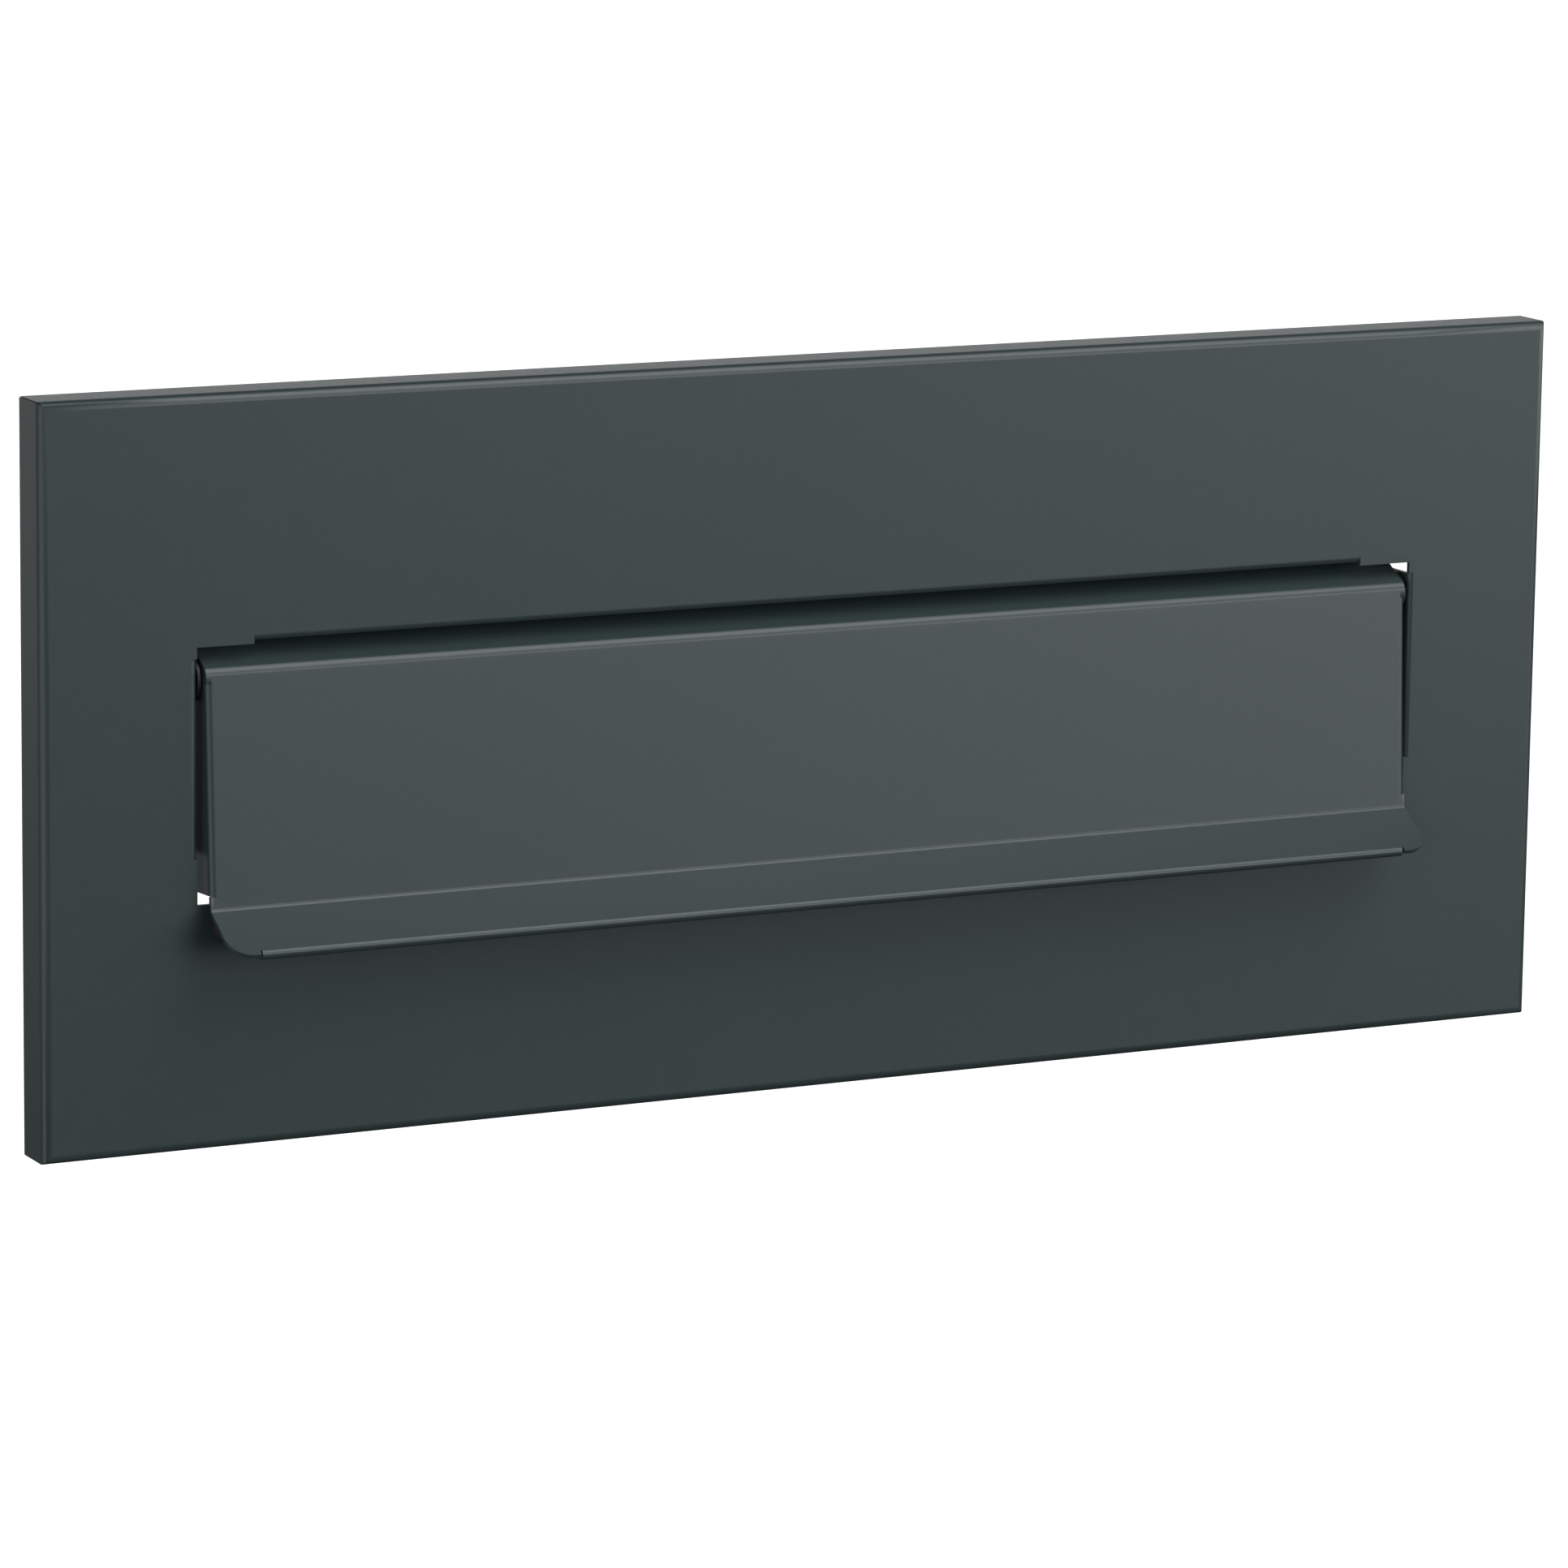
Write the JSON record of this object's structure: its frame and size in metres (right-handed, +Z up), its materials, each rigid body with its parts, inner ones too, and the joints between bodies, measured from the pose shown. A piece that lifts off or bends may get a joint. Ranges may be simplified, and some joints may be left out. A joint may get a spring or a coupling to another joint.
{
  "type": "letter plate",
  "caption": "Folded sheet-metal letter plate: a shallow rectangular tray with a wide slot and a sprung, top-hung flap whose finger lip lifts outwards.",
  "frame": {"origin": "middle of the panel's back rim, in the plane that lies on the door, gate or wall", "axes": "+X along the plate to the right as seen from the street, +Y into the wall, +Z up; the flap faces -Y"},
  "size_m": [0.34, 0.0386, 0.15],
  "materials": {
    "powder_coat": "anthracite satin powder coat with fine orange peel",
    "stainless_steel": "drawn rod",
    "zinc_plate": "bright zinc plating",
    "spring_steel": "drawn wire",
    "nylon": "black moulded nylon",
    "rubber": "matt black"
  },
  "bodies": {
    "panel": {"front_panel": "powder_coat", "bush_left": "nylon", "bush_right": "nylon", "torsion_spring_left": "spring_steel", "torsion_spring_right": "spring_steel", "rubber_buffer_left": "rubber", "rubber_buffer_right": "rubber", "weld_stud_1": "zinc_plate", "weld_stud_2": "zinc_plate", "weld_stud_3": "zinc_plate", "weld_stud_4": "zinc_plate", "washer_1": "zinc_plate", "washer_2": "zinc_plate", "washer_3": "zinc_plate", "washer_4": "zinc_plate", "hex_nut_1": "zinc_plate", "hex_nut_2": "zinc_plate", "hex_nut_3": "zinc_plate", "hex_nut_4": "zinc_plate"},
    "flap": {"flap": "powder_coat", "hinge_rod": "stainless_steel", "spacer_washer_left": "nylon", "spacer_washer_right": "nylon", "retaining_clip_left": "zinc_plate", "retaining_clip_right": "zinc_plate"}
  },
  "joints": [
    {"name": "flap_hinge", "type": "hinge", "parent": "panel", "child": "flap", "pos_m": [0, -0.0055, 0.0185], "axis": [-1, 0, 0], "range_deg": [0, 92], "stiffness_Nm_per_rad": 0.008, "springref_deg": -68.75, "deforming": ["torsion_spring_left", "torsion_spring_right"]}
  ]
}
